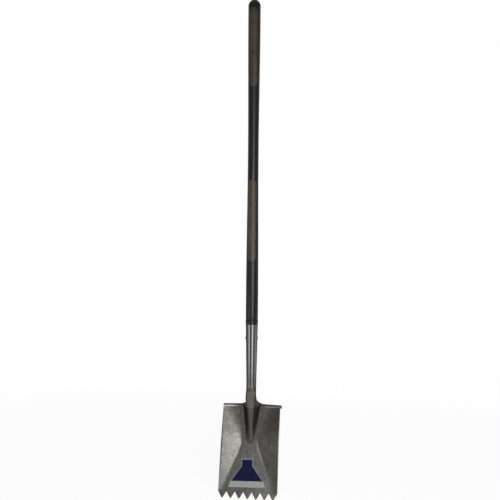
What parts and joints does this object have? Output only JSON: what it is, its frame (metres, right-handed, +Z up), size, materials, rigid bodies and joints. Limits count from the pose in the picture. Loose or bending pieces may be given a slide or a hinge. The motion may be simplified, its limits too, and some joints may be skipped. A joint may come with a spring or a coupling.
{
  "type": "roofing spade",
  "caption": "Roofing spade with a toothed steel blade, turned-back foot steps and a rolled socket, on a long straight black handle with brown grip inlays and a domed end.",
  "frame": {"origin": "level with the tooth tips, under the middle of the tool's width and depth", "axes": "+Z up the handle, parallel to its axis; -Y is the front, the side of the blade that carries the load and the label; +X is to the right of someone who looks at the front"},
  "size_m": [0.185, 0.104, 1.541],
  "materials": {
    "head_steel": "bare mill steel under clear lacquer, polished on the socket",
    "rivet_steel": "bare, pressed",
    "fibreglass": "drawn tube, hidden",
    "dowel_wood": "plain, hidden",
    "jacket": "satin black",
    "trim": "matt black",
    "grip": "soft, dull brown",
    "label": null
  },
  "bodies": {
    "root": {"spade_head": "head_steel", "socket_rivet": "rivet_steel", "handle_core": "fibreglass", "core_dowel": "dowel_wood", "handle_jacket": "jacket", "handle_collar": "trim", "end_cap": "trim", "upper_grip_front": "grip", "upper_grip_back": "grip", "lower_grip_front": "grip", "lower_grip_back": "grip", "blade_label": "label"}
  },
  "joints": []
}
